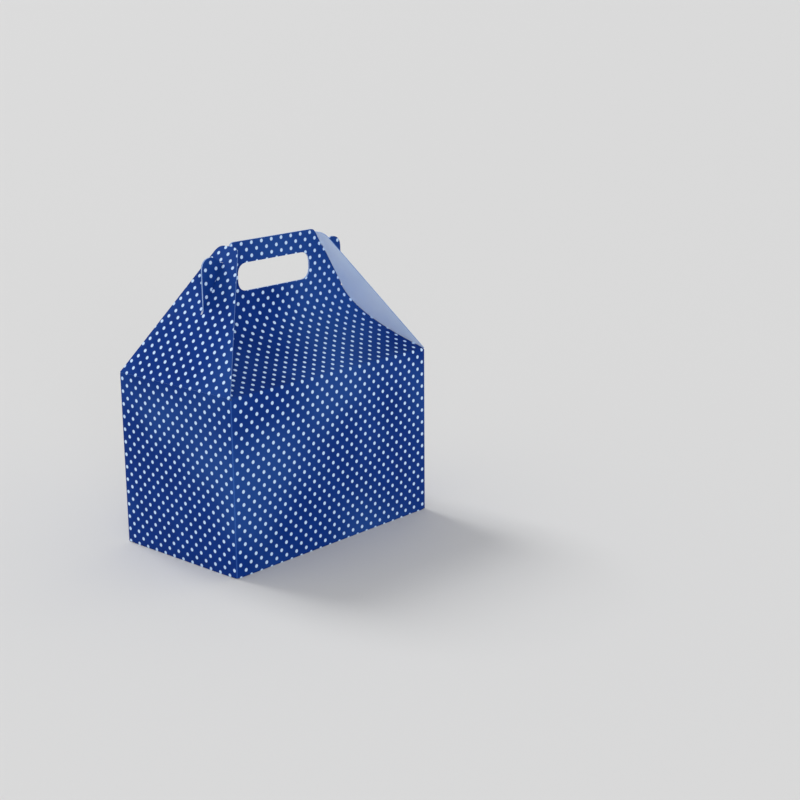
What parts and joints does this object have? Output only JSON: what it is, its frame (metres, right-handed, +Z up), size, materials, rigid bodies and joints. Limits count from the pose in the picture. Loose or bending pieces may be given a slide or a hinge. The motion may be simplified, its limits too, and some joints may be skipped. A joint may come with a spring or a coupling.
{
  "type": "gable box",
  "caption": "Folding carton with a curved gable roof that rises into a carrying handle with a hand hole; slotted end flaps lock over the handle's hooks.",
  "frame": {"origin": "middle of the base, on the surface that the box stands on", "axes": "+X along the box and its handle, +Z up, front panel facing -Y"},
  "size_m": [0.205, 0.122, 0.2285],
  "materials": {
    "printed_board": "coated folding boxboard, blue print with white dots outside, pale uncoated face inside"
  },
  "bodies": {
    "carton": {"carton": "printed_board"},
    "end_flap_left": {"end_flap_left": "printed_board"},
    "end_flap_right": {"end_flap_right": "printed_board"}
  },
  "joints": [
    {"name": "end_flap_left_crease", "type": "hinge", "parent": "carton", "child": "end_flap_left", "pos_m": [-0.1025, 0, 0.133], "axis": [0, -1, 0], "range_deg": [0, 180]},
    {"name": "end_flap_right_crease", "type": "hinge", "parent": "carton", "child": "end_flap_right", "pos_m": [0.1025, 0, 0.133], "axis": [0, 1, 0], "range_deg": [0, 180]}
  ]
}
